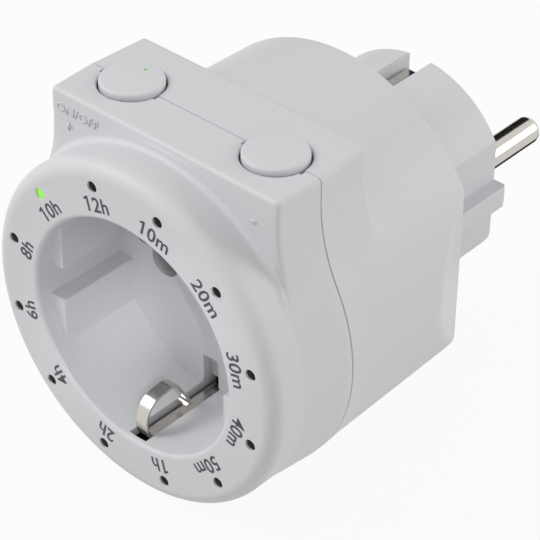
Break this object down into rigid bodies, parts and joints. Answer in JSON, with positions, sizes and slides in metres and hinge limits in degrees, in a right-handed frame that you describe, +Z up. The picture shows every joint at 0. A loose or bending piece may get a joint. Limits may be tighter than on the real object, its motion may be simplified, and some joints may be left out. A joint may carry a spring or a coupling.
{
  "type": "plug in timer switch",
  "caption": "Round mains adapter with a countdown timer: earthed socket in front, plug behind, a dial ring of lights and push buttons on a raised housing.",
  "frame": {"origin": "centre of the plug's engagement face, midway between the two pins", "axes": "+Y along the pins, towards the wall; +X to the right seen from the front; +Z up, through the button housing"},
  "size_m": [0.0592, 0.0862, 0.0616],
  "materials": {
    "shell": "fine satin",
    "button": "satin",
    "dark_plastic": "satin",
    "status_green": "clear, lit green",
    "circuit_board": "solder mask",
    "switch_cover": "satin",
    "cable": "satin",
    "mask": "matt black",
    "lens_dark": "unlit, glossy",
    "lens_lit": "lit green",
    "brass": "bright",
    "nickel": "nickel plated",
    "screw_steel": "zinc plated",
    "relay_black": "satin",
    "relay_case": "glossy",
    "bobbin": "satin",
    "copper": "enamelled copper wire",
    "iron": "soft iron, plated",
    "film_box": "glossy",
    "can_sleeve": "shrink sleeve",
    "varistor_coat": "epoxy coat",
    "ceramic": "glazed",
    "cap_metal": "tinned",
    "resistor_coat": "lacquer",
    "moulded_black": "moulded"
  },
  "bodies": {
    "housing": {"front_shell": "shell", "socket_floor": "shell", "rear_shell": "shell", "plug_nose": "shell", "contact_carrier": "dark_plastic", "button_board": "circuit_board", "light_board": "circuit_board", "main_board": "circuit_board", "switch_plus": "switch_cover", "switch_minus": "switch_cover", "button_ribbon": "cable", "light_ribbon": "cable", "light_mask": "mask", "lights_off": "lens_dark", "light_on": "lens_lit", "contact_left": "brass", "contact_right": "brass", "busbar_left": "brass", "busbar_right": "brass", "relay_anvil": "brass", "earth_clip_top": "nickel", "earth_clip_bottom": "nickel", "earth_strap_top": "nickel", "earth_strap_bottom": "nickel", "earth_bridge": "nickel", "pin_left": "nickel", "pin_right": "nickel", "insert_screws": "screw_steel", "housing_screws": "screw_steel", "relay_base": "relay_black", "relay_cover": "relay_case", "relay_bobbin": "bobbin", "relay_coil": "copper", "relay_core": "iron", "relay_yoke": "iron", "film_capacitor": "film_box", "electrolytic": "can_sleeve", "varistor": "varistor_coat", "fuse_body": "ceramic", "fuse_caps": "cap_metal", "chip_legs": "cap_metal", "resistors": "resistor_coat", "diodes": "moulded_black", "microcontroller": "moulded_black"},
    "button_plus": {"button_plus": "button", "plunger_plus": "dark_plastic", "status_light": "status_green"},
    "button_minus": {"button_minus": "button", "plunger_minus": "dark_plastic"},
    "relay_armature": {"relay_armature": "iron", "relay_blade": "brass"}
  },
  "joints": [
    {"name": "button_plus_press", "type": "slide", "parent": "housing", "child": "button_plus", "axis": [0, 0, -1], "range_m": [0, 0.0005], "stiffness_N_per_m": 1000, "springref_m": -0.0006},
    {"name": "button_minus_press", "type": "slide", "parent": "housing", "child": "button_minus", "axis": [0, 0, -1], "range_m": [0, 0.0005], "stiffness_N_per_m": 1000, "springref_m": -0.0006},
    {"name": "relay_armature_pivot", "type": "hinge", "parent": "housing", "child": "relay_armature", "pos_m": [-0.0078, -0.0372, -0.0094], "axis": [0, 0, 1], "range_deg": [0, 3], "stiffness_Nm_per_rad": 0.05, "springref_deg": -2.86}
  ]
}
